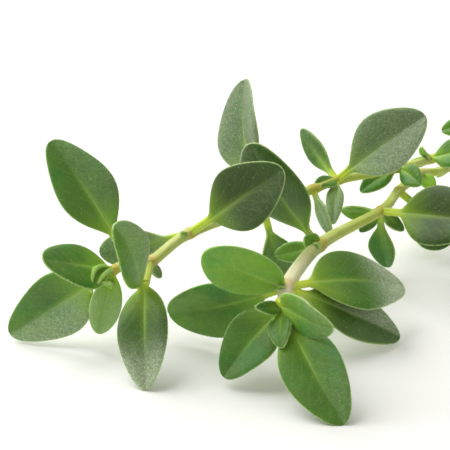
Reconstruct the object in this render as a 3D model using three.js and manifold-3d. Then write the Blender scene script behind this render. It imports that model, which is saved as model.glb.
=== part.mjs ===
// Thyme bundle: three freshly cut sprigs that lie together on a flat surface.
//
// Each sprig grew as one piece, so it is one solid: a thin four-sided stem with pairs of oval
// leaves. Each pair is turned a quarter round from the pair before it. Small young leaves sit
// between a leaf and the stem, and a bud of tiny leaves ends the sprig.
//
// +X runs from the leafy tips to the cut ends, +Z is up, and z = 0 is the surface that carries the
// bundle. The origin is the middle of the footprint. Lengths are millimetres, angles are degrees.

import * as THREE from 'three';
import { mergeVertices } from 'three/addons/utils/BufferGeometryUtils.js';
import Module from 'manifold-3d';

const wasm = await Module();
wasm.setup();

// Driving dimensions

const FOOTPRINT_MIDDLE = [1.9, -2.9];   // in the plan of the joints below

const STEM_CORNER = 0.26;         // how far a four-sided stem's corners are cut back, as a share
const STEM_STEP = 1.6;            // length of one straight piece of a stem
const BUD_RADIUS = 0.55;          // of the round core that ends a stem
const BUD_SIDES = 8;
const BUD_BANDS = 6;

const BLADE_THICKNESS = 0.65;
const STALK_WIDTH = 0.8;          // of a broad leaf's stalk
const STALK_SHARE = 0.4;          // widest stalk of a narrow leaf, as a share of the leaf's width
const TIP_BLUNTNESS = 0.2;        // width of the leaf's very tip, as a share of its full width
const TIP_HOLLOW = 0.5;           // under 1 rounds the outline out at the tip

// Places along a blade where it gets a cross-section, as shares of its length
const FULL_STATIONS = [0, 0.15, 0.36, 0.6, 0.8, 0.94, 1];
const YOUNG_STATIONS = [0, 0.4, 0.82, 1];
const YOUNG_LENGTH = 4.2;         // a shorter leaf than this has the few sections of a young one

// Shapes of leaves. fold is how far the two halves lift from flat, bow how far the middle stands
// off the straight line from root to tip, as a share of the leaf's length, and stalk the share of
// the length that is bare stalk. widest is where the blade is broadest, as a share of its length,
// foot draws the outline in at the blade's foot when it is over 1, and ratio is width to length.
const OWN_SHAPE = { fold: 10, bow: 0.03, stalk: 0.14, widest: 0.46, foot: 0.9 };
const PAIR_SHAPE = { ...OWN_SHAPE, fold: 12, ratio: 0.54 };
const YOUNG_SHAPE = { ...OWN_SHAPE, fold: 16, bow: 0.05, stalk: 0.06, ratio: 0.46 };

// How the leaves that follow the rule are set on their stem
const PAIR_SPREAD = 58;           // angle between a leaf and the stem's tip
const YOUNG_SPREAD = 34;
const LENGTH_VARIATION = 0.08;    // as a share of the length
const TURN_VARIATION = 8;
const SPREAD_VARIATION = 6;
const SURFACE_CLEARANCE = 0.8;    // of the middle of such a leaf's tip over the surface

const SURFACE_SPAN = 200;         // of the block under the surface, which levels what touches it
const SURFACE_DEPTH = 20;
const WELD_DISTANCE = 1e-4;

const LEAF_GREEN = { color: 0x4f7a34, roughness: 0.55, metalness: 0 };

// A leaf that is set by hand. at is the joint, or the place, that it grows from. heading is its
// direction in plan, rise its slope and roll its turn about its own length.
function leaf(at, [heading, rise, roll], [length, width], shape) {
  return { at, heading, rise, roll, length, width, ...OWN_SHAPE, ...shape };
}

// The sprigs
//
// stem: the stem's width across its flats.
// joints: the stem's joints from its tip to its cut end.
// spur: a side shoot, with the joint that it grows from, the place where it ends and its width.
// leaves: the leaves that are set by hand.
// pairs: pairs that follow the rule. turn is the pair's angle round the stem, length its leaves'.
// young: young leaves between a pair and the stem, each with its angle round the stem.

const SPUR_END = [-33.7, 5.1, 6.3];

const SPRIGS = [
  {
    name: 'left_sprig',
    stem: 0.8,
    seed: 11,
    joints: [
      [-33.6, 9.2, 5.7], [-33.0, 8.7, 6.2], [-32.1, 7.8, 6.7], [-31.6, 6.2, 7.0],
      [-26.9, 5.7, 7.9], [-20.7, 3.0, 8.6], [-15.2, 1.8, 8.5], [-12.0, 1.6, 8.2],
      [-4.6, 0.3, 7.0], [0.1, 0.2, 6.2], [8.0, -0.4, 5.4], [16.0, -1.4, 4.4],
      [24.0, -2.0, 3.2], [33.0, -2.0, 1.2], [42.0, -1.6, 0.4],
    ],
    spur: { joint: 3, end: SPUR_END, stem: 0.7 },
    leaves: [
      leaf(0, [123, -34, -69], [9.1, 5.3], { fold: 13, bow: 0, widest: 0.36, foot: 0.96 }),
      leaf(1, [159, 22, -34], [7, 4.4], { fold: 0, bow: -0.05, stalk: 0.08, widest: 0.38, foot: 0.8 }),
      leaf(1, [166, -72, -52], [5.3, 2.8], { fold: 25, stalk: 0.08, widest: 0.49, foot: 0.56 }),
      leaf(2, [88, 47, -38], [11.5, 4.9], { fold: 16, bow: 0.02, stalk: 0.2, foot: 1.35 }),
      leaf([-34.1, 5.4, 6.0], [-178, 62, -81], [7.4, 4.7],
        { bow: 0.08, stalk: 0.04, widest: 0.52, foot: 0.83 }),
      leaf(SPUR_END, [-144, -45, 20], [8.8, 4.4], { fold: 17, stalk: 0.04, widest: 0.43, foot: 0.75 }),
      leaf(3, [-56, -58, 50], [1.6, 0.9], { stalk: 0.1 }),
      leaf(4, [124, -14, -90], [7.4, 3.4], { fold: 12, stalk: 0.2, widest: 0.58, foot: 1.05 }),
      leaf(4, [-82, 41, 84], [10.8, 5.3], { fold: 7, bow: 0.04, stalk: 0.24, foot: 1.1 }),
      leaf(5, [48, 53, -65], [10.6, 5.8], { fold: 18, bow: 0.05, stalk: 0.2, widest: 0.48, foot: 1.1 }),
      leaf(5, [-17, -71, 105], [7.7, 3.4], { fold: 20, bow: -0.03, stalk: 0.25, widest: 0.6, foot: 1.3 }),
      leaf(6, [-120, -39, 78], [4.2, 1.6], { fold: 6, bow: 0.01, widest: 0.53, foot: 1 }),
      leaf(7, [69, 28, -74], [5.8, 2], { bow: 0.02, widest: 0.48, foot: 1 }),
      leaf(7, [175, 10, -25], [2.9, 1.5], { stalk: 0.1 }),
      leaf(7, [-150, -20, -6], [5.1, 1.5], { widest: 0.4 }),
      leaf(7, [-59, 40, 60], [9.2, 5.3], { fold: 16, bow: 0.06, widest: 0.5, foot: 1.1 }),
      leaf(8, [150, -22, -40], [3.9, 1.9], { fold: 14, bow: 0.04 }),
      leaf(8, [-110, -8, 50], [3, 2], { stalk: 0.1 }),
      leaf(9, [-90, 25, 50], [4.5, 2.6], { stalk: 0.1 }),
      leaf(1, [-177, -12, 30], [3.3, 0.9], { fold: 20, bow: 0.33, stalk: 0.04 }),
      leaf(1, [-174, -4, 27], [2.5, 0.8], { fold: 20, bow: 0.1, stalk: 0.04 }),
      leaf([-33.5, 8.5, 5.0], [178, 28, -1], [2, 0.8], { fold: 20, bow: 0.08, stalk: 0.04 }),
    ],
    pairs: [
      { joint: 10, turn: 120, length: 5.0 },
      { joint: 11, turn: 110, length: 7.5 },
      { joint: 12, turn: 80, length: 4.5 },
    ],
    young: [
      { joint: 0, turns: [110, 290], length: 1.4 },
      { joint: 4, turns: [60, 240], length: 1.6 },
      { joint: 9, turns: [80, 200], length: 2.2 },
      { joint: 10, turns: [60, 110, 240, 290], length: 2.8 },
      { joint: 11, turns: [80, 130, 260, 310], length: 3.0 },
      { joint: 12, turns: [70, 250], length: 2.4 },
    ],
  },
  {
    name: 'front_sprig',
    stem: 1,
    seed: 23,
    joints: [
      [-30.8, -5.9, 5.9], [-27.9, -4.2, 6.2], [-20.7, -2.5, 6.7], [-11.2, -2.1, 6.1],
      [-5.2, 0.0, 5.2], [0.7, 1.6, 4.3], [5.0, 1.6, 3.4], [15.5, 5.0, 3.0],
      [24.0, 4.4, 2.2], [33.0, 3.0, 1.0], [41.0, 1.8, 0.4],
    ],
    leaves: [
      leaf(0, [147, -45, -33], [7, 4.5], { fold: 14, bow: 0.02, stalk: 0.04, widest: 0.44, foot: 0.95 }),
      leaf(0, [-116, -32.3, 30], [11, 5.1], { fold: 18, bow: 0.05, widest: 0.48, foot: 0.78 }),
      leaf([-31.4, -5.8, 6.8], [-104, 0, 105], [6.3, 3.9],
        { fold: 6, bow: 0.04, stalk: 0.1, widest: 0.4, foot: 0.55 }),
      leaf(0, [-147, -23, 26], [4, 2.1], { fold: 14, bow: 0.05, stalk: 0.04 }),
      leaf(0, [165, 20, -60], [3, 1.2], { stalk: 0.04 }),
      leaf(1, [145, 31, -116], [7.9, 4.9], { fold: 6, stalk: 0.04, widest: 0.52, foot: 0.6 }),
      leaf(1, [103, -22, -98], [10.7, 5.2], { fold: 18, widest: 0.52, foot: 1.05 }),
      leaf(1, [-22, -14, 33], [11.6, 5.8], { fold: 3, bow: 0.05, stalk: 0.18, widest: 0.42, foot: 1.15 }),
      leaf(1, [-37, -31, 40], [11.1, 4.4], { fold: 8, bow: 0.01, widest: 0.49 }),
      leaf(2, [129, 58, -124], [10.5, 6], { fold: 5, stalk: 0.12, widest: 0.51, foot: 1.35 }),
      leaf(2, [102, -22, -74], [4.1, 1.7], { stalk: 0.1, widest: 0.51 }),
      leaf(2, [155, 34, -84], [1.7, 1.5], { fold: 5, bow: 0.05, stalk: 0.1, foot: 0.6 }),
      leaf(3, [108, -6, -105], [3.3, 1.6], { fold: 18, bow: 0.06, stalk: 0.1, widest: 0.54 }),
      leaf(3, [-28, -82, 148], [5.2, 2.6], { fold: 20, bow: 0.05, widest: 0.55, foot: 1.2 }),
      leaf(3, [135, -45, -80], [2.4, 1.2], { fold: 15, bow: 0.05, stalk: 0.1 }),
      leaf(3, [-87, 8, 54], [9.9, 5.2], { bow: 0, stalk: 0.2, widest: 0.41, foot: 1.03 }),
      leaf(3, [-68, -38, 45], [2.5, 1.2], { stalk: 0.1 }),
      leaf(4, [-72, -42, 56], [6.2, 4.5], { widest: 0.62 }),
      leaf(5, [-100, -30, 30], [1.9, 1.4], { stalk: 0.1 }),
      leaf(7, [126, -11, -49], [3.2, 1.9], { stalk: 0.1 }),
      leaf(7, [-124, 2, 18], [3.9, 2.2], { stalk: 0.1 }),
    ],
    pairs: [
      { joint: 8, turn: 20, length: 4.5 },
    ],
    young: [
      { joint: 0, turns: [40, 220], length: 1.8 },
      { joint: 1, turns: [100, 280], length: 1.6 },
      { joint: 2, turns: [60, 240], length: 1.8 },
      { joint: 6, turns: [60, 240], length: 1.5 },
      { joint: 7, turns: [0, 310], length: 2.6 },
      { joint: 8, turns: [40, 220], length: 2.4 },
    ],
  },
  {
    name: 'side_sprig',
    stem: 0.95,
    seed: 37,
    joints: [
      [-3.6, -15.6, 6.6], [-2.1, -15.2, 6.9], [1.0, -14.3, 7.1], [7.0, -12.4, 6.8],
      [14.5, -10.0, 5.6], [22.0, -7.8, 4.0], [32.0, -5.8, 1.5], [43.0, -4.6, 0.4],
    ],
    leaves: [],
    pairs: [
      { joint: 0, turn: 70, length: 6.0 },
      { joint: 1, turn: 160, length: 7.0 },
      { joint: 2, turn: 60, length: 8.5 },
      { joint: 3, turn: 150, length: 9.5 },
      { joint: 4, turn: 70, length: 8.5 },
      { joint: 5, turn: 140, length: 7.0 },
    ],
    young: [
      { joint: 0, turns: [20, 110, 200, 290], length: 2.4 },
      { joint: 2, turns: [40, 90, 220, 270], length: 2.6 },
      { joint: 3, turns: [130, 180, 310, 0], length: 3.2 },
      { joint: 4, turns: [50, 100, 230, 280], length: 3.2 },
      { joint: 5, turns: [120, 170, 300, 350], length: 2.8 },
    ],
  },
];

// A fixed run of draws between -1 and 1
function draws(seed) {
  let state = seed;
  return () => {
    state = (Math.imul(state, 1664525) + 1013904223) >>> 0;
    return state / 2 ** 31 - 1;
  };
}

const radians = THREE.MathUtils.degToRad;

// A leaf's three axes from its angles: along it, across it, and out of its upper face
function leafAxes({ heading, rise, roll }) {
  const [h, r, turn] = [heading, rise, roll].map(radians);
  const along = new THREE.Vector3(Math.cos(r) * Math.cos(h), Math.cos(r) * Math.sin(h), Math.sin(r));
  const level = new THREE.Vector3(-Math.sin(h), Math.cos(h), 0);
  const across = level.applyAxisAngle(along, turn);
  return { along, across, upper: along.clone().cross(across) };
}

// Half the blade's width, as a share of its widest half, from its foot (0) to its tip (1)
function bladeOutline(place, widest, foot) {
  const hollow = foot + (TIP_HOLLOW - foot) * place;
  const shift = Math.log(0.5) / Math.log(widest);
  return Math.max(Math.sin(Math.PI * place ** shift), 0) ** hollow;
}

// A closed skin over rings of six points: left edge, middle and right edge on the upper face, then
// right edge, middle and left edge on the lower one. Both faces are split along the same diagonals.
function skin(rings) {
  const size = rings[0].length;
  const triangles = [];
  for (let ring = 0; ring + 1 < rings.length; ring += 1) {
    for (let side = 0; side < size; side += 1) {
      const a = ring * size + side;
      const b = ring * size + (side + 1) % size;
      const [c, d] = [b + size, a + size];
      const lower = side === 3 || side === 4;
      triangles.push(...(lower ? [a, b, d, b, c, d] : [a, b, c, a, c, d]));
    }
  }
  const last = (rings.length - 1) * size;
  for (const [a, b, c] of [[0, 5, 1], [1, 5, 4], [1, 4, 2], [2, 4, 3]]) {
    triangles.push(a, b, c, last + a, last + c, last + b);
  }
  const geometry = new THREE.BufferGeometry().setFromPoints(rings.flat());
  geometry.setIndex(triangles);
  return geometry;
}

function leafGeometry(root, axes, { length, width, fold, bow, stalk, widest, foot }) {
  const stations = length < YOUNG_LENGTH ? YOUNG_STATIONS : FULL_STATIONS;
  const stalkHalf = Math.min(STALK_WIDTH, width * STALK_SHARE) / 2;
  const [openness, lift] = [Math.cos(radians(fold)), Math.sin(radians(fold))];
  const section = (place, half) => {
    const middle = root.clone()
      .addScaledVector(axes.along, place * length)
      .addScaledVector(axes.upper, bow * length * 4 * place * (1 - place));
    const point = (edge, face) => middle.clone()
      .addScaledVector(axes.across, edge * half * openness)
      .addScaledVector(axes.upper, Math.abs(edge) * half * lift + face * BLADE_THICKNESS / 2);
    return [
      point(1, 1), point(0, 1), point(-1, 1),
      point(-1, -1), point(0, -1), point(1, -1),
    ];
  };
  const rings = [section(0, stalkHalf)];
  for (const station of stations) {
    const nearFoot = station < 0.5;
    const narrowest = nearFoot ? stalkHalf : width * TIP_BLUNTNESS / 2;
    const half = Math.max(bladeOutline(station, widest, foot) * width / 2, narrowest);
    rings.push(section(stalk + (1 - stalk) * station, half));
  }
  return skin(rings);
}

// A leaf that follows the rule. Its upper face looks to the stem's tip, and it clears the surface.
function ruledAxes(root, tipward, turn, spread, length) {
  const level = new THREE.Vector3(-tipward.y, tipward.x, 0).normalize();
  const outward = level.applyAxisAngle(tipward, radians(turn));
  const along = tipward.clone().multiplyScalar(Math.cos(radians(spread)))
    .addScaledVector(outward, Math.sin(radians(spread)));
  const lowest = (SURFACE_CLEARANCE - root.z) / length;
  if (along.z < lowest) {
    const plan = Math.sqrt((1 - lowest ** 2) / (along.x ** 2 + along.y ** 2));
    along.set(along.x * plan, along.y * plan, lowest);
  }
  const across = tipward.clone().cross(along).normalize();
  return { along, across, upper: along.clone().cross(across) };
}

function ruledLeaf(root, tipward, { turn, spread, length, shape }, draw) {
  const ownLength = length * (1 + LENGTH_VARIATION * draw());
  const ownTurn = turn + TURN_VARIATION * draw();
  const ownSpread = spread + SPREAD_VARIATION * draw();
  const axes = ruledAxes(root, tipward, ownTurn, ownSpread, ownLength);
  return leafGeometry(root, axes, { ...shape, length: ownLength, width: ownLength * shape.ratio });
}

// A four-sided stem with its corners cut back, along a smooth curve through the given places
function stemGeometry(places, width) {
  const [flat, corner] = [width / 2, width / 2 - STEM_CORNER * width];
  const section = new THREE.Shape([
    [flat, corner], [corner, flat], [-corner, flat], [-flat, corner],
    [-flat, -corner], [-corner, -flat], [corner, -flat], [flat, -corner],
  ].map(([x, y]) => new THREE.Vector2(x, y)));
  const path = new THREE.CatmullRomCurve3(places, false, 'catmullrom');
  const steps = Math.ceil(path.getLength() / STEM_STEP);
  return new THREE.ExtrudeGeometry(section, { steps, extrudePath: path });
}

function budGeometry(place) {
  return new THREE.SphereGeometry(BUD_RADIUS, BUD_SIDES, BUD_BANDS).translate(...place);
}

function solid(geometry) {
  const bare = geometry.clone();
  bare.deleteAttribute('normal');
  bare.deleteAttribute('uv');
  const welded = mergeVertices(bare, WELD_DISTANCE);
  return new wasm.Manifold(new wasm.Mesh({
    numProp: 3,
    vertProperties: welded.attributes.position.array,
    triVerts: Uint32Array.from(welded.index.array),
  }));
}

function geometryOf(body) {
  const { vertProperties, triVerts } = body.getMesh();
  const geometry = new THREE.BufferGeometry();
  geometry.setAttribute('position', new THREE.BufferAttribute(vertProperties, 3));
  geometry.setIndex(new THREE.BufferAttribute(triVerts, 1));
  geometry.computeVertexNormals();
  return geometry;
}

const belowSurface = solid(
  new THREE.BoxGeometry(SURFACE_SPAN, SURFACE_SPAN, SURFACE_DEPTH).translate(0, 0, -SURFACE_DEPTH / 2),
);

function leafPieces(plan, places) {
  const draw = draws(plan.seed);
  const last = places.length - 1;
  const tipward = (joint) => places[Math.max(joint - 1, 0)].clone()
    .sub(places[Math.min(joint + 1, last)])
    .normalize();
  const ruled = (joint, rule) => ruledLeaf(places[joint], tipward(joint), rule, draw);
  const pieces = plan.leaves.map((own) => {
    const root = Array.isArray(own.at) ? new THREE.Vector3(...own.at) : places[own.at];
    return leafGeometry(root, leafAxes(own), own);
  });
  for (const { joint, turn, length } of plan.pairs) {
    for (const side of [turn, turn + 180]) {
      pieces.push(ruled(joint, { turn: side, spread: PAIR_SPREAD, length, shape: PAIR_SHAPE }));
    }
  }
  for (const { joint, turns, length } of plan.young) {
    for (const turn of turns) {
      pieces.push(ruled(joint, { turn, spread: YOUNG_SPREAD, length, shape: YOUNG_SHAPE }));
    }
  }
  return pieces;
}

function sprigMesh(plan) {
  const places = plan.joints.map((place) => new THREE.Vector3(...place));
  const pieces = [stemGeometry(places, plan.stem), budGeometry(places[0])];
  if (plan.spur) {
    const { joint, end, stem } = plan.spur;
    const place = new THREE.Vector3(...end);
    pieces.push(stemGeometry([places[joint], place], stem), budGeometry(place));
  }
  pieces.push(...leafPieces(plan, places));
  const grown = pieces.map(solid).reduce((body, piece) => body.add(piece));
  const geometry = geometryOf(grown.subtract(belowSurface));
  const mesh = new THREE.Mesh(geometry, new THREE.MeshStandardMaterial(LEAF_GREEN));
  mesh.name = plan.name;
  return mesh;
}

const bundle = new THREE.Group();
bundle.position.set(-FOOTPRINT_MIDDLE[0], -FOOTPRINT_MIDDLE[1], 0);
for (const plan of SPRIGS) {
  bundle.add(sprigMesh(plan));
}

export default bundle;
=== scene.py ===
# %% [markdown]
# # A bundle of fresh thyme
#
# Three cut sprigs lie on a white table, leafy tips to one side and cut ends to the other.
# The imported solids give every stem and leaf its place, but with few faces and one colour.
# This lesson builds each sprig again over those solids, with smooth blades, veins, a pale bloom
# with a painted sheen and fine hairs. It starts with the imported model, because everything below
# is measured against it. Lengths in the tables are millimetres, angles are degrees.

import math

import bpy
import numpy as np
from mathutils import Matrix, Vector


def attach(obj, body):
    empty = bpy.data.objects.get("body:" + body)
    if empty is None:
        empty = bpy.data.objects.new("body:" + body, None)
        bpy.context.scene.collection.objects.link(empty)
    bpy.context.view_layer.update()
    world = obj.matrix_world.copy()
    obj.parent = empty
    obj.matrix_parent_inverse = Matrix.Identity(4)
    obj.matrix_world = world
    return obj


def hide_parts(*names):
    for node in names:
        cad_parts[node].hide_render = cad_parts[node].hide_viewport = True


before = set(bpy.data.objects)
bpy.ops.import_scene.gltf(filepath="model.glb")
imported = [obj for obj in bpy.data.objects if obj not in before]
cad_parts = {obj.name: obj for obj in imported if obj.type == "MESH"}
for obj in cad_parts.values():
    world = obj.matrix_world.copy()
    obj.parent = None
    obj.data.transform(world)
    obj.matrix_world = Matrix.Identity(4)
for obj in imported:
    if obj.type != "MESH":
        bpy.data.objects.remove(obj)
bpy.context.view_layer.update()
MM = 0.001


# %% [markdown]
# ## The sprigs in numbers
#
# A thyme stem carries its leaves in pairs, each pair a quarter round from the one before.
# Leaves near the tips are set one by one, because the bunch owes its character to how each of them
# turns, folds and droops. The leaves further down only follow the plant's rule, so a short
# row names a pair and a seeded draw gives every leaf a slightly different length and turn.
# Each leaf also says how deep its green is and how much pale bloom, with a painted sheen, lies on it.

# %% A row for a leaf that is set one by one
FOOTPRINT_MIDDLE = np.array([1.9, -2.9, 0.0])  # where the frame's origin is among the joints

# What a leaf is unless its row says otherwise. fold is how far its halves lift. bow is how far its
# middle stands off the straight line, and stalk how much of it is bare stalk, as shares of its
# length. widest is the place where the blade is broadest, and foot, when it is over 1, draws the
# blade in at its foot. youth turns the green to yellow. young marks a small blade with few faces.
SHAPE = dict(fold=10, bow=0.03, stalk=0.14, widest=0.46, foot=0.9, bloom=(0, 0, 0), youth=0,
             young=False)


def leaf(at, turn, size, green, **shape):
    """turn is heading in plan, slope and roll. green runs from 0, deep, to 1, fresh.
    bloom is the leaf's pale bloom with a painted sheen on it: how pale it is, how far from the
    leaf's foot it starts, and the half that has most of it, which is the half that catches the light:
    1 is to the left of the midrib as seen from the foot, -1 to the right, 0 both."""
    return dict(SHAPE, at=at, turn=turn, size=size, green=green, **shape)


print("a plain leaf:", SHAPE)

# %% The sprig whose tip is at the left
# joints run from the tip to the cut end, and tints say how creamy the stem is at each of them.
# stem_half is half the stem's width a little below the tip and further down. spur is a joint and
# the place where a side stalk from it ends. A row of pairs is a joint, a turn round the stem and
# a length, and a row of young is a joint, the turns of its young leaves and their length.
SPUR_END = (-33.7, 5.1, 6.3)  # where the drooping leaf hangs
LEFT_SPRIG = dict(
    seed=11,
    stem_half=(0.37, 0.32),
    joints=[
        (-33.6, 9.2, 5.7), (-33.0, 8.7, 6.2), (-32.1, 7.8, 6.7), (-31.6, 6.2, 7.0),
        (-26.9, 5.7, 7.9), (-20.7, 3.0, 8.6), (-15.2, 1.8, 8.5), (-12.0, 1.6, 8.2),
        (-4.6, 0.3, 7.0), (0.1, 0.2, 6.2), (8.0, -0.4, 5.4), (16.0, -1.4, 4.4),
        (24.0, -2.0, 3.2), (33.0, -2.0, 1.2), (42.0, -1.6, 0.4),
    ],
    tints=[0.2, 0.2, 0.3, 0.35, 0.4, 0.2, 0.0, 0.0, 0.1, 0.2, 0.4, 0.6, 0.7, 0.8, 0.8],
    spur=(3, SPUR_END),
    leaves=[
        leaf(0, (123, -34, -69), (9.1, 5.3), 0.50, fold=13, bow=0, widest=0.36, foot=0.96,
             bloom=(0.9, 0.15, 1)),
        leaf(1, (159, 22, -34), (7, 4.4), 0.56, fold=0, bow=-0.05, stalk=0.08, widest=0.38,
             foot=0.8, bloom=(0.1, 0.7, 0)),
        leaf(1, (166, -72, -52), (5.3, 2.8), 0.95, fold=25, stalk=0.08, widest=0.49, foot=0.56,
             bloom=(0.8, 0.3, 0), youth=0.4),
        leaf(2, (88, 47, -38), (11.5, 4.9), 0.40, fold=16, bow=0.02, stalk=0.2, foot=1.35,
             bloom=(0.3, 0.25, -1)),
        leaf((-34.1, 5.4, 6.0), (-178, 62, -81), (7.4, 4.7), 0.68, bow=0.08, stalk=0.04,
             widest=0.52, foot=0.83, bloom=(0.65, 0.1, -1)),
        leaf(SPUR_END, (-144, -45, 20), (8.8, 4.4), 0.16, fold=17, stalk=0.04, widest=0.43,
             foot=0.75, bloom=(1.5, 0.72, 0)),
        leaf(3, (-56, -58, 50), (1.6, 0.9), 0.40, stalk=0.1, bloom=(0.6, 0, 0)),
        leaf(4, (124, -14, -90), (7.4, 3.4), 0.50, fold=12, stalk=0.2, widest=0.58, foot=1.05,
             bloom=(0.7, 0, 0)),
        leaf(4, (-82, 41, 84), (10.8, 5.3), 0.03, fold=7, bow=0.04, stalk=0.24, foot=1.1,
             bloom=(0.2, 0.1, -1)),
        leaf(5, (48, 53, -65), (10.6, 5.8), 0.16, fold=18, bow=0.05, stalk=0.2, widest=0.48,
             foot=1.1, bloom=(0.5, 0, 0)),
        leaf(5, (-17, -71, 105), (7.7, 3.4), 0.58, fold=20, bow=-0.03, stalk=0.25, widest=0.6,
             foot=1.3, bloom=(0.2, 0.3, 0)),
        leaf(6, (-120, -39, 78), (4.2, 1.6), 0.50, fold=6, bow=0.01, widest=0.53, foot=1,
             bloom=(0.8, 0, 0)),
        leaf(7, (69, 28, -74), (5.8, 2), 0.3, bow=0.02, widest=0.48, foot=1),
        leaf(7, (175, 10, -25), (2.9, 1.5), 0.50, stalk=0.1),
        leaf(7, (-150, -20, -6), (5.1, 1.5), 0.60, widest=0.4, bloom=(0.7, 0, 0)),
        leaf(7, (-59, 40, 60), (9.2, 5.3), 0.25, fold=16, bow=0.06, widest=0.5, foot=1.1,
             bloom=(0.95, 0, -0.4)),
        leaf(8, (150, -22, -40), (3.9, 1.9), 0.50, fold=14, bow=0.04),
        leaf(8, (-110, -8, 50), (3, 2), 0.50, stalk=0.1),
        leaf(9, (-90, 25, 50), (4.5, 2.6), 0.50, stalk=0.1),
        leaf(1, (-177, -12, 30), (3.3, 0.9), 1.00, fold=20, bow=0.33, stalk=0.04, youth=1),
        leaf(1, (-174, -4, 27), (2.5, 0.8), 0.95, fold=20, bow=0.1, stalk=0.04, youth=1),
        leaf((-33.5, 8.5, 5.0), (178, 28, -1), (2, 0.8), 1.00, fold=20, bow=0.08, stalk=0.04, youth=1),
    ],
    pairs=[(10, 120, 5.0), (11, 110, 7.5), (12, 80, 4.5)],
    young=[
        (0, [110, 290], 1.4), (4, [60, 240], 1.6), (9, [80, 200], 2.2),
        (10, [60, 110, 240, 290], 2.8), (11, [80, 130, 260, 310], 3.0), (12, [70, 250], 2.4),
    ],
)

# %% The sprig whose tip is at the front
FRONT_SPRIG = dict(
    seed=23,
    stem_half=(0.52, 0.33),
    joints=[
        (-30.8, -5.9, 5.9), (-27.9, -4.2, 6.2), (-20.7, -2.5, 6.7), (-11.2, -2.1, 6.1),
        (-5.2, 0.0, 5.2), (0.7, 1.6, 4.3), (5.0, 1.6, 3.4), (15.5, 5.0, 3.0),
        (24.0, 4.4, 2.2), (33.0, 3.0, 1.0), (41.0, 1.8, 0.4),
    ],
    tints=[0.8, 1.0, 0.25, 0.05, 0.0, 0.3, 0.1, 0.1, 0.4, 0.6, 0.8],
    spur=None,
    leaves=[
        leaf(0, (147, -45, -33), (7, 4.5), 0.44, fold=14, bow=0.02, stalk=0.04, widest=0.44,
             foot=0.95, bloom=(0.1, 0.5, 1)),
        leaf(0, (-116, -32.3, 30), (11, 5.1), 0.45, fold=18, bow=0.05, widest=0.48, foot=0.78,
             bloom=(0.25, 0.6, 1)),
        leaf((-31.4, -5.8, 6.8), (-104, 0, 105), (6.3, 3.9), 0.64, fold=6, bow=0.04, stalk=0.1,
             widest=0.4, foot=0.55, bloom=(0.3, 0.6, 0)),
        leaf(0, (-147, -23, 26), (4, 2.1), 0.42, fold=14, bow=0.05, stalk=0.04),
        leaf(0, (165, 20, -60), (3, 1.2), 0.40, stalk=0.04),
        leaf(1, (145, 31, -116), (7.9, 4.9), 0.86, fold=6, stalk=0.04, widest=0.52, foot=0.6,
             bloom=(0.1, 0.6, 0)),
        leaf(1, (103, -22, -98), (10.7, 5.2), 0.60, fold=18, widest=0.52, foot=1.05,
             bloom=(0.05, 0.5, 0)),
        leaf(1, (-22, -14, 33), (11.6, 5.8), 0.40, fold=3, bow=0.05, stalk=0.18, widest=0.42,
             foot=1.15, bloom=(2.4, 0.76, 0)),
        leaf(1, (-37, -31, 40), (11.1, 4.4), 0.25, fold=8, bow=0.01, widest=0.49, bloom=(1.2, 0.45, 1)),
        leaf(2, (129, 58, -124), (10.5, 6), 0.22, fold=5, stalk=0.12, widest=0.51, foot=1.35,
             bloom=(0.5, 0.4, 1)),
        leaf(2, (102, -22, -74), (4.1, 1.7), 0.66, stalk=0.1, widest=0.51),
        leaf(2, (155, 34, -84), (1.7, 1.5), 0.82, fold=5, bow=0.05, stalk=0.1, foot=0.6),
        leaf(3, (108, -6, -105), (3.3, 1.6), 0.8, fold=18, bow=0.06, stalk=0.1, widest=0.54),
        leaf(3, (-28, -82, 148), (5.2, 2.6), 0.52, fold=20, bow=0.05, widest=0.55, foot=1.2),
        leaf(3, (135, -45, -80), (2.4, 1.2), 0.35, fold=15, bow=0.05, stalk=0.1),
        leaf(3, (-87, 8, 54), (9.9, 5.2), 0.0, bow=0, stalk=0.2, widest=0.41, foot=1.03,
             bloom=(0.05, 0.2, 1)),
        leaf(3, (-68, -38, 45), (2.5, 1.2), 0.35, stalk=0.1),
        leaf(4, (-72, -42, 56), (6.2, 4.5), 0.18, widest=0.62, bloom=(0.2, 0.2, 1)),
        leaf(5, (-100, -30, 30), (1.9, 1.4), 0.80, stalk=0.1, youth=1),
        leaf(7, (126, -11, -49), (3.2, 1.9), 0.55, stalk=0.1),
        leaf(7, (-124, 2, 18), (3.9, 2.2), 0.35, stalk=0.1),
    ],
    pairs=[(8, 20, 4.5)],
    young=[
        (0, [40, 220], 1.8), (1, [100, 280], 1.6), (2, [60, 240], 1.8),
        (6, [60, 240], 1.5), (7, [0, 310], 2.6), (8, [40, 220], 2.4),
    ],
)

# %% The sprig at the side
SIDE_SPRIG = dict(
    seed=37,
    stem_half=(0.42, 0.42),
    joints=[
        (-3.6, -15.6, 6.6), (-2.1, -15.2, 6.9), (1.0, -14.3, 7.1), (7.0, -12.4, 6.8),
        (14.5, -10.0, 5.6), (22.0, -7.8, 4.0), (32.0, -5.8, 1.5), (43.0, -4.6, 0.4),
    ],
    tints=[0.2, 0.3, 0.2, 0.7, 0.3, 0.5, 0.7, 0.8],
    spur=None,
    leaves=[],
    pairs=[(0, 70, 6.0), (1, 160, 7.0), (2, 60, 8.5), (3, 150, 9.5), (4, 70, 8.5), (5, 140, 7.0)],
    young=[
        (0, [20, 110, 200, 290], 2.4), (2, [40, 90, 220, 270], 2.6), (3, [130, 180, 310, 0], 3.2),
        (4, [50, 100, 230, 280], 3.2), (5, [120, 170, 300, 350], 2.8),
    ],
)
SPRIGS = {"left_sprig": LEFT_SPRIG, "front_sprig": FRONT_SPRIG, "side_sprig": SIDE_SPRIG}

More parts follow.
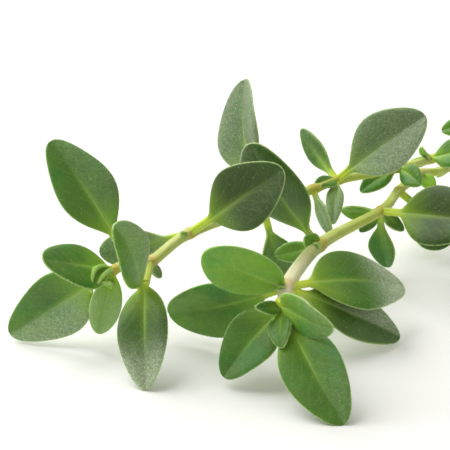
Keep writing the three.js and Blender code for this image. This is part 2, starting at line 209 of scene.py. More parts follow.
# %% [markdown]
# ## How a leaf hangs on its stem
#
# A leaf has three directions: along it, across it and out of its upper face. For a leaf set one by
# one they come from its heading, slope and roll. A leaf that follows the rule starts from the stem's
# own direction, leans out from it by a fixed angle and turns its upper face to the stem's tip, as
# light-seeking leaves do. It could be posed by hand in the viewport, but a rule gives the same
# plant each time and keeps every drooping tip above the table.

# %% Directions of a leaf
TIP_CLEARANCE = 0.8  # a leaf that follows the rule ends no lower above the table


def unit(vector):
    return vector / np.linalg.norm(vector)


def turned(vector, axis, degrees):
    """The vector turned round a unit axis."""
    c, s = math.cos(math.radians(degrees)), math.sin(math.radians(degrees))
    return vector * c + np.cross(axis, vector) * s + axis * np.dot(axis, vector) * (1 - c)


def placed_axes(heading, slope, roll):
    """Along the leaf, across it and out of its upper face."""
    h, s = math.radians(heading), math.radians(slope)
    along = np.array([math.cos(s) * math.cos(h), math.cos(s) * math.sin(h), math.sin(s)])
    across = turned(np.array([-math.sin(h), math.cos(h), 0.0]), along, roll)
    return along, across, np.cross(along, across)


def ruled_axes(root, tipward, turn, spread, length):
    """The same for a leaf that leans out from its stem by spread, on the side that turn says."""
    outward = turned(unit(np.array([-tipward[1], tipward[0], 0.0])), tipward, turn)
    lean = math.radians(spread)
    along = tipward * math.cos(lean) + outward * math.sin(lean)
    lowest = (TIP_CLEARANCE - root[2]) / length
    if along[2] < lowest:
        plan = math.sqrt((1 - lowest ** 2) / (along[0] ** 2 + along[1] ** 2))
        along = np.array([along[0] * plan, along[1] * plan, lowest])
    across = unit(np.cross(tipward, along))
    return along, across, np.cross(along, across)


print("a leaf that heads along x and rises by 30 degrees:",
      [axis.round(2).tolist() for axis in placed_axes(0, 30, 0)])

# %% Every leaf of a sprig, as a list
DRAW_FACTOR, DRAW_OFFSET, DRAW_RANGE = 1664525, 1013904223, 2 ** 32
LENGTH_VARIATION, TURN_VARIATION, SPREAD_VARIATION = 0.08, 8, 6
PAIR_SPREAD, PAIR_RATIO = 58, 0.54  # lean from the stem, and width as a share of length
PAIR_LOOK = dict(SHAPE, green=0.45, fold=12, bloom=(0.3, 0.3, 0))
YOUNG_SPREAD, YOUNG_RATIO = 34, 0.46
YOUNG_LOOK = dict(SHAPE, green=0.8, fold=16, bow=0.05, stalk=0.06, youth=0.7, young=True)


def steady_draws(seed):
    """A fixed run of draws between -1 and 1."""
    state = seed
    while True:
        state = (state * DRAW_FACTOR + DRAW_OFFSET) % DRAW_RANGE
        yield 2 * state / DRAW_RANGE - 1


def leaves_of(plan):
    places = [np.array(place) for place in plan["joints"]]
    draw = steady_draws(plan["seed"])
    found = []
    for row in plan["leaves"]:
        root = np.array(row["at"]) if isinstance(row["at"], tuple) else places[row["at"]]
        found.append(dict(row, root=root, axes=placed_axes(*row["turn"])))

    def add_ruled(joint, turn, spread, length, ratio, look):
        tipward = unit(places[max(joint - 1, 0)] - places[min(joint + 1, len(places) - 1)])
        length *= 1 + LENGTH_VARIATION * next(draw)
        turn += TURN_VARIATION * next(draw)
        spread += SPREAD_VARIATION * next(draw)
        axes = ruled_axes(places[joint], tipward, turn, spread, length)
        found.append(dict(look, root=places[joint], axes=axes, size=(length, length * ratio)))

    for joint, turn, length in plan["pairs"]:
        for side in (turn, turn + 180):
            add_ruled(joint, side, PAIR_SPREAD, length, PAIR_RATIO, PAIR_LOOK)
    for joint, turns, length in plan["young"]:
        for turn in turns:
            add_ruled(joint, turn, YOUNG_SPREAD, length, YOUNG_RATIO, YOUNG_LOOK)
    return found


leaves = {name: leaves_of(plan) for name, plan in SPRIGS.items()}
print("leaves:", {name: len(rows) for name, rows in leaves.items()})

# %% [markdown]
# ## The blade
#
# A thyme leaf is a small oval blade, 6 to 12 mm long, on a short pale stalk. Its halves lift a little
# from a sunken midrib, its margin rolls under and its tip is blunt. A flat plane with a picture of a
# leaf would be quick, but it has no thickness, so it neither catches light on its rim nor shows a
# midrib in silhouette. Here a closed section of the blade is carried from root to tip. The section is
# nearly round in the stalk and flat in the blade, and its columns crowd at the midrib and at the rim.

# %% Outline and thickness of a blade
TIP_POWER = 0.5  # the outline's power at the tip: under 1 is blunt
STALK_HALF, STALK_SHARE = 0.33, 0.16  # half a stalk's width, at most this share of the blade's
STALK_FADE = 0.5  # place where the stalk has melted into the midrib
BLADE_THICKNESS, STALK_THICKNESS = 0.34, 0.5
YOUNG_THINNING = 0.75  # a young blade has this share of the thickness
TIP_THINNING, TIP_PART = 0.45, 0.25  # what a blade loses over its last part
FLAT_FROM, FLAT_OVER = -0.02, 0.22  # where the round stalk turns into the flat blade
STATIONS = {False: (5, 32), True: (2, 10)}  # sections along stalk and blade; True is young
LAST_STATION = 0.998  # just short of the tip, which is one closing point


def eased(x):
    x = np.clip(x, 0, 1)
    return x * x * (3 - 2 * x)


def outline(place, widest, foot):
    """Half of the blade's width as a share of its widest half, from foot (0) to tip (1)."""
    inside = np.clip(place, 0, 1)
    shift = math.log(0.5) / math.log(widest)
    return np.clip(np.sin(np.pi * inside ** shift), 0, 1) ** (foot + (TIP_POWER - foot) * inside)


def sections(row):
    """Place, half width, thickness and flatness of each section. A place in the stalk is under 0."""
    width, young = row["size"][1], row["young"]
    stalk_steps, blade_steps = STATIONS[young]
    stalk = np.linspace(-row["stalk"] / (1 - row["stalk"]), 0, stalk_steps, endpoint=False)
    blade_part = np.sin(0.5 * np.pi * np.linspace(0, 1, blade_steps, endpoint=False))
    place = np.concatenate([stalk, blade_part * LAST_STATION])
    stalk_half = min(STALK_HALF, width * STALK_SHARE) * (1 - eased(place / STALK_FADE))
    half = outline(place, row["widest"], row["foot"]) * width / 2
    half = (half ** 4 + stalk_half ** 4) ** 0.25  # the wider of the two, with a soft change
    flatness = eased((place - FLAT_FROM) / FLAT_OVER)
    thick = STALK_THICKNESS + (BLADE_THICKNESS - STALK_THICKNESS) * flatness
    thick = thick * (YOUNG_THINNING if young else 1.0)
    thick = thick * (1 - TIP_THINNING * eased((place - (1 - TIP_PART)) / TIP_PART))
    return place, half, thick, flatness


sample = leaf(0, (0, 0, 0), (10.0, 5.0), 0.5)
print("a 5 mm blade is", round(2 * sections(sample)[1].max(), 2), "mm wide at its widest section")

# %% Relief of a blade
FOLD_ROUNDING = 0.05  # the fold at the midrib is not a sharp crease
RIPPLE, RIPPLE_RUN, RIPPLE_SKEW = 0.035, 7, 1.4  # a soft wave, not the same on both halves
RIPPLE_STRETCH, RIPPLE_SHIFT = 0.2, 3  # how far it differs from leaf to leaf
GROWN_RIPPLE = 1.3  # a grown leaf ripples this much more than a young one
RIM_ROLL, YOUNG_ROLL = 0.07, 0.4  # how far the margin rolls under, and a young blade's share
ROLL_POWER = 7  # the higher it is, the narrower the roll
HALF_CROWN = 0.10  # each half of the blade is a little domed
SIDE_VEINS, VEIN_SLANT = 6.5, 1.1  # how many, and how far they run forward in each mm
PUCKER, RIB_CLEAR, RIM_CLEAR = 0.022, 0.5, 0.6  # puckers rise clear of midrib and rim


def relief(row, place, edge, lane, flat, wave):
    """How far the middle of the blade stands off its plane. edge runs from 1 at the left rim over
    0 at the midrib to -1, lane is the half width there, and wave makes each leaf a bit different."""
    young, size, rib_gap = row["young"], np.abs(edge), np.abs(edge * lane)
    crease = np.sqrt(size ** 2 + FOLD_ROUNDING ** 2) - FOLD_ROUNDING
    lift = math.sin(math.radians(row["fold"])) * lane * crease
    phase = RIPPLE_RUN * place * (1 + RIPPLE_STRETCH * wave[0]) + RIPPLE_SHIFT * wave[1]
    phase = phase + RIPPLE_SKEW * edge
    ripple = RIPPLE * np.sin(phase)
    lift = lift + lane * size ** 2 * ripple * (1 if young else GROWN_RIPPLE) * flat
    lift = lift - RIM_ROLL * size ** ROLL_POWER * flat * (YOUNG_ROLL if young else 1)
    lift = lift + HALF_CROWN * lane * size * (1 - size) * flat
    clear = eased(rib_gap / RIB_CLEAR) * eased(lane * (1 - size) / RIM_CLEAR)
    vein_run = SIDE_VEINS * place - VEIN_SLANT * rib_gap
    pucker = PUCKER * np.cos(2 * np.pi * vein_run) * clear
    return lift - pucker * (0 if young else 1)


print("side veins on each half:", SIDE_VEINS, "with puckers of", PUCKER, "mm between them")

# %% Upper and lower skin of a blade
HALF_COLUMNS = {False: [0.055, 0.13, 0.24, 0.37, 0.52, 0.68, 0.82, 0.92, 0.975, 1.0],
                True: [0.12, 0.35, 0.65, 0.9, 1.0]}  # from midrib to rim; True is young
ROUND, FLATTER = 2, 4  # power of a stalk's section, and what a blade's has on top
GROOVE, GROOVE_WIDTH = 0.07, 0.13  # the midrib is sunk above
KEEL, KEEL_WIDTH = 0.13, 0.2  # and stands out below
RIB_LOSS = 0.7  # both grow weaker by this much to the tip
SWAY = 0.05  # a leaf's midrib is never quite straight
CLOSING_STEP = 0.002  # from the last section to the tip, as a share of the length


def ringed(top, low):
    """Sections from rim to rim over the upper face, closed by the way back over the lower one."""
    return np.concatenate([top, low[:, -2:0:-1]], axis=1)


def blade_rings(row, place, thick, flatness, edge, lane, wave):
    """One ring of points round each section, and the point of the tip."""
    (length, width), (along, across, upper) = row["size"], row["axes"]
    flat, size, rib = flatness[:, None], np.abs(edge), edge * lane
    lift = relief(row, place[:, None], edge, lane, flat, wave)
    body = thick[:, None] / 2 * np.sqrt(np.clip(1 - size ** (ROUND + FLATTER * flat), 0, 1))
    fading = (1 - RIB_LOSS * eased(place))[:, None]
    groove = GROOVE * np.exp(-(rib / GROOVE_WIDTH) ** 2) * fading * flat
    keel = KEEL * np.exp(-(rib / KEEL_WIDTH) ** 2) * fading * flat
    share = row["stalk"] + (1 - row["stalk"]) * place
    bow = row["bow"] * length * 4 * share * (1 - share)
    sway = SWAY * wave[2] * width * np.sin(np.pi * np.clip(share, 0, 1))
    centre = (row["root"] + np.outer(share * length, along) + np.outer(bow, upper)
              + np.outer(sway, across))
    sideways = (rib * math.cos(math.radians(row["fold"])))[..., None] * across
    top = centre[:, None] + sideways + (lift + body - groove)[..., None] * upper
    low = centre[:, None] + sideways + (lift - body - keel * (1 - size))[..., None] * upper
    return ringed(top, low), centre[-1] + along * CLOSING_STEP * length


print("a leaf sways by up to", SWAY, "of its width")

# %% Faces between the rings
def skin_faces(rows, around):
    """Quads between the rings, and a fan at either end to one more point."""
    index = np.arange(rows * around).reshape(rows, around)
    a, b = index[:-1], np.roll(index, -1, axis=1)[:-1]
    quads = np.stack([a, b, b + around, a + around], axis=-1).reshape(-1, 4)
    start, end = rows * around, rows * around + 1
    fans = [(b, a, start) for a, b in zip(index[0], np.roll(index[0], -1))]
    fans += [(a, b, end) for a, b in zip(index[-1], np.roll(index[-1], -1))]
    return [tuple(quad) for quad in quads.tolist()] + fans


for young, halves in HALF_COLUMNS.items():
    print("young" if young else "grown", "blade:", 4 * len(halves), "points round each section")

# %% What each point of a blade knows
GREEN_VARIATION = 0.04
SHEEN_BLOOM_LEAD, SHEEN_BLOOM_OVER = 0.3, 0.5  # the pale bloom and its painted sheen start a little early and grow over half a leaf
MIDDLE_SHEEN_BLOOM, RIM_SHEEN_BLOOM = 0.65, 0.35  # its share at the midrib, and what the rim has on top
CLEAR_FOOT = 0.12
OTHER_HALF_LOSS = 0.9  # what the other half loses when one half, the one that catches the light, has most of the painted sheen
HALF_BLEND = 0.5  # mm on either side of the midrib where the two halves meet
RIM_HAIR_BAND = 0.12  # hairs stand on the rim, and fewer on the blade
BLADE_HAIR_SHARE, SHEEN_BLOOM_HAIR_SHARE = 0.07, 0.6


def blade_marks(row, place, edge, lane, wave):
    """Values for the finish and the hairs, one for each point of the blade."""
    size, rib, rim_gap = np.abs(edge), edge * lane, lane * (1 - np.abs(edge))

    def mark(top, ends, low=None):
        top = np.broadcast_to(top, edge.shape)
        return np.concatenate([ringed(top, top if low is None else low).ravel(), ends])

    marks = {
        "leaf_place": mark(place[:, None], [place[0], 1.0]),
        "rib_gap": mark(np.abs(rib), [0.0, 0.0]),
        "rim_gap": mark(rim_gap, [lane[0, 0], 0.0]),
        "upper_face": mark(np.where(size < 1, 1.0, 0.5), [0.5, 0.5], np.zeros(edge.shape)),
    }
    alike = np.ones(len(marks["rib_gap"]))
    marks["green"] = alike * np.clip(row["green"] + GREEN_VARIATION * wave[3], 0, 1)
    marks["youth"] = alike * row["youth"]
    # the pale bloom with its painted sheen: from a place along the leaf towards the tip, most on the
    # half that catches the light
    pale, start, sheen_half = row["bloom"]
    begun = eased((place[:, None] - start + SHEEN_BLOOM_LEAD) / SHEEN_BLOOM_OVER)
    begun = begun * (MIDDLE_SHEEN_BLOOM + RIM_SHEEN_BLOOM * size ** 2)
    other_half = eased(0.5 - sheen_half * rib / HALF_BLEND)
    kept = 1 - OTHER_HALF_LOSS * other_half * abs(sheen_half)
    spread = pale * begun * kept * eased(place[:, None] / CLEAR_FOOT)
    marks["bloom"] = mark(spread, [0.0, pale])
    rim = np.exp(-(marks["rim_gap"] / RIM_HAIR_BAND) ** 2)
    marks["hairiness"] = BLADE_HAIR_SHARE + SHEEN_BLOOM_HAIR_SHARE * marks["bloom"] ** 2 + rim
    return marks


print("hairs on a bare blade:", BLADE_HAIR_SHARE, "of those on its rim")

# %% One leaf as a closed skin
def blade(row, rng):
    """Points in mm, faces and marks of one leaf."""
    place, half, thick, flatness = sections(row)
    halves = np.array(HALF_COLUMNS[row["young"]])
    edge, lane = np.meshgrid(np.concatenate([halves[::-1], [0.0], -halves]), half)
    wave = rng.uniform(-1, 1, 4)
    rings, tip = blade_rings(row, place, thick, flatness, edge, lane, wave)
    points = np.concatenate([rings.reshape(-1, 3), [row["root"], tip]])
    return points, skin_faces(*rings.shape[:2]), blade_marks(row, place, edge, lane, wave)


first = leaves["left_sprig"][0]
points, faces, marks = blade(first, np.random.default_rng(0))
print("one leaf:", len(points), "points,", len(faces), "faces, marks:", sorted(marks))

# %% Objects and their marks
def put(name, data):
    """A new object in the scene, at the origin."""
    piece = bpy.data.objects.new(name, data)
    bpy.context.scene.collection.objects.link(piece)
    return piece


def add_marks(mesh, marks):
    for mark, values in marks.items():
        attribute = mesh.attributes.new(mark, "FLOAT", "POINT")
        attribute.data.foreach_set("value", values.astype(np.float32))


# %% Many leaves as one mesh
TABLE_GAP = 0.01 * MM  # nothing comes nearer to the table than this


def mesh_of(name, parts):
    """Joins skins into one mesh object in metres, with its marks as point attributes."""
    points, faces, marks, offset = [], [], {}, 0
    for own_points, own_faces, own_marks in parts:
        points.append(own_points)
        faces += [tuple(offset + i for i in face) for face in own_faces]
        for mark, values in own_marks.items():
            marks.setdefault(mark, []).append(values)
        offset += len(own_points)
    places = (np.concatenate(points) - FOOTPRINT_MIDDLE) * MM
    places[:, 2] = np.maximum(places[:, 2], TABLE_GAP)
    mesh = bpy.data.meshes.new(name)
    mesh.from_pydata(places.tolist(), [], faces)
    add_marks(mesh, {mark: np.concatenate(values) for mark, values in marks.items()})
    mesh.polygons.foreach_set("use_smooth", [True] * len(mesh.polygons))
    return put(name, mesh)


blades = {}
for name, rows in leaves.items():
    rng = np.random.default_rng(SPRIGS[name]["seed"])
    for kind, young in (("leaves", False), ("young_leaves", True)):
        parts = [blade(row, rng) for row in rows if row["young"] == young]
        blades[name, kind] = mesh_of(f"{name}_{kind}", parts)
        print(name, kind, len(parts), "blades,", len(blades[name, kind].data.polygons), "faces")

# %% [markdown]
# ## The stems
#
# A thyme stem is square with rounded corners, thin and green at the tip, tan and woody at the
# cut end, and a little swollen where leaves join it. It could be modelled ring by ring, but its
# shape follows one rule: a section carried along a path. Geometry Nodes does just that, so the
# tree below turns a line of points into a curve and sweeps a square section along it, as wide as
# each point says. Its inputs are how square the section is, and the material.

# %% A smooth line through a stem's joints
PATH_STEP = 0.2


def smooth_line(places):
    """Points about 0.2 mm apart on a Catmull-Rom curve, which goes through all its places."""
    p = [2 * places[0] - places[1], *places, 2 * places[-1] - places[-2]]
    line = []
    for i in range(1, len(p) - 2):
        steps = max(2, int(np.linalg.norm(p[i + 1] - p[i]) / PATH_STEP))
        for t in np.linspace(0, 1, steps, endpoint=False):
            line.append(0.5 * (2 * p[i] + (p[i + 1] - p[i - 1]) * t
                               + (2 * p[i - 1] - 5 * p[i] + 4 * p[i + 1] - p[i + 2]) * t ** 2
                               + (3 * p[i] - p[i - 1] - 3 * p[i + 1] + p[i + 2]) * t ** 3))
    return np.array(line + [p[-2]])


lines = {name: smooth_line(list(np.array(plan["joints"]))) for name, plan in SPRIGS.items()}
print("points on each stem's line:", {name: len(line) for name, line in lines.items()})

# %% What each point of the line knows
TIP_HALF, SPUR_HALF = 0.3, 0.32
HALF_PLACES = [0, 4, 20]  # how far from the tip a stem's half widths are given
JOINT_SWELL, JOINT_REACH = 0.2, 0.55


def line_object(name, line, joints, halves, tints, ripest):
    """A bare line of points with what the sweep and the stem's finish need to know.
    It swells at every joint but the last, which is its cut end or the foot of a leaf."""
    away = np.linalg.norm(line[:, None] - joints[None], axis=2)
    closeness = np.exp(-(away[:, :-1].min(axis=1) / JOINT_REACH) ** 2)
    walked = np.concatenate([[0], np.cumsum(np.linalg.norm(np.diff(line, axis=0), axis=1))])
    radius = np.interp(walked, HALF_PLACES, halves) * (1 + JOINT_SWELL * closeness)
    mesh = bpy.data.meshes.new(name)
    edges = [(i, i + 1) for i in range(len(line) - 1)]
    mesh.from_pydata(((line - FOOTPRINT_MIDDLE) * MM).tolist(), edges, [])
    tint = np.interp(walked, walked[away.argmin(axis=0)], tints)
    add_marks(mesh, dict(half=radius * MM, walked=walked, ripeness=walked / walked[-1] * ripest,
                         tint=tint, joint=closeness))
    return put(name, mesh)


sources = {}
for name, plan in SPRIGS.items():
    joints = np.array(plan["joints"])
    halves = [TIP_HALF, *plan["stem_half"]]
    sources[name] = [line_object(f"{name}_line", lines[name], joints, halves, plan["tints"], 1.0)]
    if plan["spur"]:
        joint, end = plan["spur"]
        ends = np.array([joints[joint], end])
        spur = smooth_line(list(ends))
        # as thick at either end, and green all along
        sources[name].append(line_object(f"{name}_spur_line", spur, ends, [SPUR_HALF] * 3,
                                         [0.0, 0.0], 0.0))
print("lines to sweep:", {name: len(pieces) for name, pieces in sources.items()})

# %% Place nodes and feed them
def place_node(tree, kind, **settings):
    made = tree.nodes.new(kind)
    for key, value in settings.items():
        setattr(made, key, value)
    return made


def feed(tree, socket, value):
    """Links a socket, or sets a plain value."""
    if isinstance(value, bpy.types.NodeSocket):
        tree.links.new(value, socket)
    else:
        socket.default_value = value


def step(tree, kind, inputs, output=0, **settings):
    """Places a node, feeds its inputs by name or number and returns one output."""
    made = place_node(tree, kind, **settings)
    for key, value in inputs.items():
        feed(tree, made.inputs[key], value)
    return made.outputs[output]


# %% Arithmetic in a tree
def maths(tree, operation, *values, kind="ShaderNodeMath"):
    return step(tree, kind, dict(enumerate(values)), operation=operation)


def plus(tree, first, second):
    return maths(tree, "ADD", first, second)


def times(tree, first, second):
    return maths(tree, "MULTIPLY", first, second)


def scaled(tree, vector, factor):
    return step(tree, "ShaderNodeVectorMath", {0: vector, "Scale": factor}, operation="SCALE")


# %% Start a tree, read a mark, end a tree
def new_tree(name, kind, inputs, outputs):
    """The tree with what goes in and what comes out. A socket of None has no plain value."""
    tree = bpy.data.node_groups.new(name, kind)
    for label, sort, value in inputs:
        made = tree.interface.new_socket(label, in_out="INPUT", socket_type="NodeSocket" + sort)
        if value is not None:
            made.default_value = value
    for label, sort in outputs:
        tree.interface.new_socket(label, in_out="OUTPUT", socket_type="NodeSocket" + sort)
    return tree, tree.nodes.new("NodeGroupInput").outputs, tree.nodes.new("NodeGroupOutput").inputs


def point_mark(tree, mark):
    return step(tree, "GeometryNodeInputNamedAttribute", {"Name": mark}, data_type="FLOAT")


def finish_tree(tree, geometry, material, output):
    """Every tree ends in real mesh with its material."""
    whole = step(tree, "GeometryNodeRealizeInstances", {"Geometry": geometry})
    whole = step(tree, "GeometryNodeSetMaterial", {"Geometry": whole, "Material": material})
    feed(tree, output, whole)


# %% The sweep
SECTION_POINTS = 16
SQUARE_CORNER, MEAN_BULGE = 0.28, 1.08  # how far a corner stands out of a section's mean size
SQUARENESS = 0.35


def square_section(tree, squareness):
    """A ring of radius 1 whose four corners stand out, and each point's angle on it."""
    ring = step(tree, "GeometryNodeCurvePrimitiveCircle", {
        "Resolution": SECTION_POINTS, "Radius": 1.0})
    index = step(tree, "GeometryNodeInputIndex", {})
    turn = maths(tree, "DIVIDE", index, SECTION_POINTS / (2 * math.pi))
    cosine = maths(tree, "COSINE", times(tree, turn, 4.0))
    corner = times(tree, squareness, -SQUARE_CORNER)
    bulge = maths(tree, "MULTIPLY_ADD", cosine, corner, MEAN_BULGE)
    square = scaled(tree, step(tree, "GeometryNodeInputPosition", {}), bulge)
    return step(tree, "GeometryNodeSetPosition", {"Geometry": ring, "Position": square}), turn


def sweep_tree():
    tree, given, result = new_tree("sweep_square_stem", "GeometryNodeTree", [
        ("Line", "Geometry", None), ("Squareness", "Float", SQUARENESS),
        ("Material", "Material", None)], [("Stem", "Geometry")])
    curve = step(tree, "GeometryNodeMeshToCurve", {"Mesh": given["Line"]})
    ring, turn = square_section(tree, given["Squareness"])
    ring = step(tree, "GeometryNodeStoreNamedAttribute", {
        "Geometry": ring, "Name": "around", "Value": turn}, data_type="FLOAT", domain="POINT")
    skin = step(tree, "GeometryNodeCurveToMesh", {
        "Curve": curve, "Profile Curve": ring, "Scale": point_mark(tree, "half"),
        "Fill Caps": True})
    skin = step(tree, "GeometryNodeSetShadeSmooth", {"Geometry": skin, "Shade Smooth": True})
    finish_tree(tree, skin, given["Material"], result["Stem"])
    return tree


SWEEP = sweep_tree()
print("the sweep has", len(SWEEP.nodes), "nodes")

# %% Run a tree on an object and keep the plain result
def grown(source, tree, name, settings):
    """The tree's result on source as a new plain object. The source keeps no modifier."""
    modifier = source.modifiers.new("grow", "NODES")
    modifier.node_group = tree
    for item in tree.interface.items_tree:
        if item.in_out == "INPUT" and item.name in settings:
            modifier[item.identifier] = settings[item.name]
    depsgraph = bpy.context.evaluated_depsgraph_get()
    mesh = bpy.data.meshes.new_from_object(source.evaluated_get(depsgraph))
    mesh.name = name
    if mesh.materials[0] is None:  # the scatter leaves an empty first slot
        mesh.materials.pop(index=0)
    source.modifiers.remove(modifier)
    return put(name, mesh)


# %% [markdown]
# ## Finishes
#
# Leaf and stem share two effects, so each is a group that is built once: a soft mottle that keeps
# any green from being one flat colour, and tiny pale oil glands, which dot the whole plant.
# The leaf's own finish then mixes by what each vertex knows: upper or lower face, how far the
# midrib and the rim are, how deep its green is. Pictures of leaves would not fit over a
# hundred small blades, and they would not follow these measures.

# %% Soft mottle
def mottle_group():
    """A noise around 0 in patches of about the given size."""
    tree, given, result = new_tree("soft_mottle", "ShaderNodeTree", [
        ("Patch Size", "Float", 3 * MM), ("Contrast", "Float", 1.0)], [("Mottle", "Float")])
    where = step(tree, "ShaderNodeTexCoord", {}, "Object")
    scale = maths(tree, "DIVIDE", 1.0, given["Patch Size"])
    noise = step(tree, "ShaderNodeTexNoise", {
        "Vector": where, "Scale": scale, "Detail": 3.0, "Roughness": 0.6})
    centred = maths(tree, "SUBTRACT", noise, 0.5)
    feed(tree, result["Mottle"], times(tree, centred, given["Contrast"]))
    return tree


def patches(tree, size, contrast):
    return step(tree, "ShaderNodeGroup", {"Patch Size": size, "Contrast": contrast},
                node_tree=MOTTLE)


MOTTLE = mottle_group()
print("soft mottle:", len(MOTTLE.nodes), "nodes")

# %% Oil glands
GLANDS_LEFT_OUT = 0.45  # this share of the cells holds no gland
GLAND_MIDDLE = 0.4  # the part of a dot that is whole


def ranged(tree, value, low, high):
    """0 below low and 1 above high, or the other way round when low is above high."""
    return step(tree, "ShaderNodeMapRange", {"Value": value, "From Min": low, "From Max": high},
                interpolation_type="SMOOTHSTEP")


def gland_group():
    """Round dots, one in each cell that keeps its gland. Size is a share of the spacing."""
    tree, given, result = new_tree("oil_glands", "ShaderNodeTree", [
        ("Spacing", "Float", 0.3 * MM), ("Size", "Float", 0.25)], [("Dots", "Float")])
    cells = place_node(tree, "ShaderNodeTexVoronoi")
    feed(tree, cells.inputs["Vector"], step(tree, "ShaderNodeTexCoord", {}, "Object"))
    feed(tree, cells.inputs["Scale"], maths(tree, "DIVIDE", 1.0, given["Spacing"]))
    middle = times(tree, given["Size"], GLAND_MIDDLE)
    dot = ranged(tree, cells.outputs["Distance"], given["Size"], middle)
    chosen = step(tree, "ShaderNodeSeparateColor", {0: cells.outputs["Color"]})
    kept = maths(tree, "GREATER_THAN", chosen, GLANDS_LEFT_OUT)
    feed(tree, result["Dots"], times(tree, dot, kept))
    return tree


def glands(tree, spacing, size):
    return step(tree, "ShaderNodeGroup", {"Spacing": spacing, "Size": size}, node_tree=GLANDS)


GLANDS = gland_group()
print("oil glands:", len(GLANDS.nodes), "nodes")

# %% Read a mark and mix colours
def marked(tree, mark):
    return step(tree, "ShaderNodeAttribute", {}, "Fac", attribute_name=mark)


def blend(tree, share, first, second):
    made = place_node(tree, "ShaderNodeMix", data_type="RGBA")
    for number, value in ((0, share), (6, first), (7, second)):
        feed(tree, made.inputs[number], value)
    return made.outputs[2]


def paint(red, green, blue):
    """A colour as seen on a screen, 0 to 255, as the linear colour a node takes."""
    def linear(x):
        x /= 255
        return x / 12.92 if x <= 0.04045 else ((x + 0.055) / 1.055) ** 2.4
    return (linear(red), linear(green), linear(blue), 1.0)


def layered(tree, colour, *layers):
    """Lays each layer, a share and a colour, over what is below it."""
    for share, over in layers:
        colour = blend(tree, share, colour, over)
    return colour


print("half bright on a screen, 128, is", round(paint(128, 128, 128)[0], 3), "to a node")

# %% A relief and a new material
def bumped(tree, height, strength, distance):
    return step(tree, "ShaderNodeBump", {
        "Height": height, "Strength": strength, "Distance": distance})


def new_material(name, surface, finish=None):
    """surface holds the plain numbers, and finish works out the rest in the material's tree."""
    material = bpy.data.materials.new(name)
    material.use_nodes = True
    tree = material.node_tree
    shader = tree.nodes["Principled BSDF"]
    worked_out = finish(tree) if finish else {}
    for label, value in {**surface, **worked_out}.items():
        feed(tree, shader.inputs[label], value)
    print(name, "finish:", len(tree.nodes), "nodes")
    return material


# %% [markdown]
# ## The leaf's finish
#
# A thyme leaf is deep green with age and fresh green near the tip, limy at its foot and stalk, and
# it carries a grey bloom that catches on one half or at the tip, painted there as a sheen with painted
# glints. Its midrib shows pale for half its length and its rim is a broken pale line, partly the
# margin's own paler green and partly painted rim light. A colour painted by hand on each leaf would
# take days. The blades already know their places, so one finish reads those marks and mixes the
# colours, while the green and the bloom with its painted sheen that each row names make every leaf its
# own.

# %% The green of a blade
DEEP_GREEN, MIDDLE_GREEN, FRESH_GREEN = paint(54, 80, 20), paint(80, 126, 32), paint(126, 178, 44)
MIDDLE_COOL, FRESH_COOL = paint(62, 124, 34), paint(90, 168, 50)
YOUNG_GREEN, FOOT_GREEN, UNDER_GREEN = paint(146, 194, 58), paint(158, 200, 54), paint(120, 150, 84)
UNEVENNESS, UNDER_SHARE = 0.5, 0.5
COOL_PATCHES, COOL_RANGE = (3.5 * MM, 1.0), (-0.02, 0.16)  # size and contrast
FOOT_RANGE, FOOT_SHARE = (0.42, -0.05), 0.6  # places along the blade
BAND_HALF, BAND_SHARE = 0.5, 0.4  # the soft band along the midrib
RIB_FADES = (0.85, 0.1)  # places where the midrib is gone, and whole


def blade_green(tree, place, rib_gap, mottle, fine):
    """Uneven in soft patches, yellower towards the stalk and in a soft band along the midrib."""
    uneven = times(tree, plus(tree, mottle, fine), UNEVENNESS)
    tone = times(tree, plus(tree, marked(tree, "green"), uneven), 2.0)  # the middle green is at 1
    cool = ranged(tree, patches(tree, *COOL_PATCHES), *COOL_RANGE)
    middle = blend(tree, cool, MIDDLE_GREEN, MIDDLE_COOL)
    fresh = blend(tree, cool, FRESH_GREEN, FRESH_COOL)
    colour = blend(tree, tone, DEEP_GREEN, middle)
    colour = blend(tree, maths(tree, "SUBTRACT", tone, 1.0), colour, fresh)
    colour = blend(tree, marked(tree, "youth"), colour, YOUNG_GREEN)
    under = blend(tree, UNDER_SHARE, colour, UNDER_GREEN)
    colour = blend(tree, marked(tree, "upper_face"), under, colour)
    near_foot = times(tree, ranged(tree, place, *FOOT_RANGE), FOOT_SHARE)
    band = times(tree, ranged(tree, rib_gap, BAND_HALF, 0.0), ranged(tree, place, *RIB_FADES))
    return layered(tree, colour, (near_foot, FOOT_GREEN), (times(tree, band, BAND_SHARE), FOOT_GREEN))


print("deep green as a node takes it:", [round(part, 3) for part in DEEP_GREEN])

# %% The veins of a blade
MIDRIB_EDGE, MIDRIB_SHARE = (0.16, 0.02), 0.26  # mm from its middle
SIDE_VEIN_EDGE, SIDE_VEIN_SHARE = 0.12, 0.05  # as a share of the way to the next vein
SIDE_VEINS_END = (0.3, 1.2)  # mm from the rim


def vein_mask(tree, place, rib_gap, rim_gap, mottle):
    """The midrib fades to the tip. Faint side veins run out and forward, as the puckers do."""
    midrib = times(tree, ranged(tree, rib_gap, *MIDRIB_EDGE), ranged(tree, place, *RIB_FADES))
    slant = plus(tree, mottle, times(tree, rib_gap, VEIN_SLANT))
    run = maths(tree, "SUBTRACT", times(tree, place, SIDE_VEINS), slant)
    side = ranged(tree, maths(tree, "PINGPONG", run, 0.5), SIDE_VEIN_EDGE, 0.0)
    side = times(tree, side, ranged(tree, rim_gap, *SIDE_VEINS_END))
    return maths(tree, "MAXIMUM", times(tree, midrib, MIDRIB_SHARE),
                 times(tree, side, SIDE_VEIN_SHARE))


print("side veins show at", SIDE_VEIN_SHARE, "and the midrib at", MIDRIB_SHARE)
